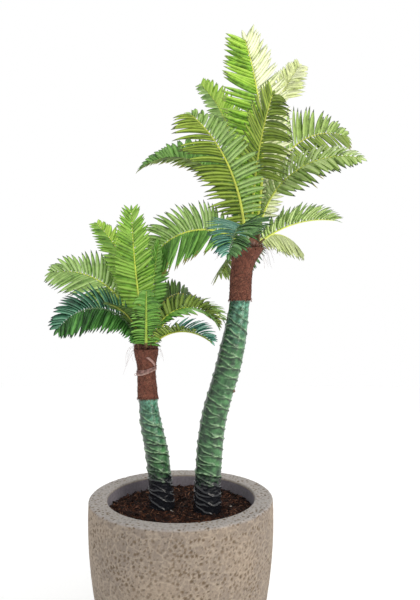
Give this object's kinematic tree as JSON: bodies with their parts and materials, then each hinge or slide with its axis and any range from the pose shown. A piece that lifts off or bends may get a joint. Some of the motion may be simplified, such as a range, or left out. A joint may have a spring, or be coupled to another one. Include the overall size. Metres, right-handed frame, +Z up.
{
  "type": "artificial twin-trunk palm tree in a pot",
  "caption": "Artificial palm with two leaning ringed trunks, fibre sheaths and feather fronds, standing in a round thick-walled stone-look pot.",
  "frame": {"origin": "centre of the pot's flat underside", "axes": "+Z up, +X to the right of the front view towards the taller trunk, +Y to the back"},
  "size_m": [0.7357, 0.6267, 1.393],
  "materials": {
    "pot_stone": "matt, cast, pitted",
    "coir_fill": "matt, loose chips",
    "trunk_plastic": "satin, moulded leaf scars",
    "sheath_fibre": "matt, matted fibre",
    "tie_fibre": "matt, twisted fibre",
    "leaf_lime": "satin",
    "leaf_pale": "satin",
    "leaf_fresh": "satin",
    "leaf_olive": "satin",
    "leaf_deep": "satin",
    "leaf_blue": "satin"
  },
  "bodies": {
    "root": {"pot": "pot_stone", "soil": "coir_fill", "trunk_tall": "trunk_plastic", "sheath_tall": "sheath_fibre", "trunk_small": "trunk_plastic", "sheath_small": "sheath_fibre", "tie_small": "tie_fibre", "frond_tall_01": "leaf_lime", "frond_tall_02": "leaf_pale", "frond_tall_03": "leaf_olive", "frond_tall_04": "leaf_fresh", "frond_tall_05": "leaf_fresh", "frond_tall_06_inner": "leaf_deep", "frond_tall_06_outer": "leaf_deep", "frond_tall_07_inner": "leaf_fresh", "frond_tall_07_outer": "leaf_fresh", "frond_tall_08_inner": "leaf_fresh", "frond_tall_08_outer": "leaf_fresh", "frond_tall_09": "leaf_olive", "frond_tall_10": "leaf_pale", "frond_tall_11": "leaf_blue", "frond_tall_12_inner": "leaf_fresh", "frond_tall_12_outer": "leaf_fresh", "frond_tall_13": "leaf_olive", "frond_tall_14": "leaf_deep", "frond_tall_15": "leaf_deep", "frond_small_01": "leaf_lime", "frond_small_02": "leaf_fresh", "frond_small_03": "leaf_lime", "frond_small_04_inner": "leaf_fresh", "frond_small_04_outer": "leaf_fresh", "frond_small_05_inner": "leaf_blue", "frond_small_05_outer": "leaf_blue", "frond_small_06": "leaf_olive", "frond_small_07_inner": "leaf_olive", "frond_small_07_outer": "leaf_olive", "frond_small_08_inner": "leaf_olive", "frond_small_08_outer": "leaf_olive", "frond_small_09": "leaf_deep", "frond_small_10": "leaf_lime", "frond_small_11": "leaf_deep", "frond_small_12": "leaf_deep", "frond_small_13_inner": "leaf_fresh", "frond_small_13_outer": "leaf_fresh", "frond_small_14": "leaf_deep"}
  },
  "joints": []
}
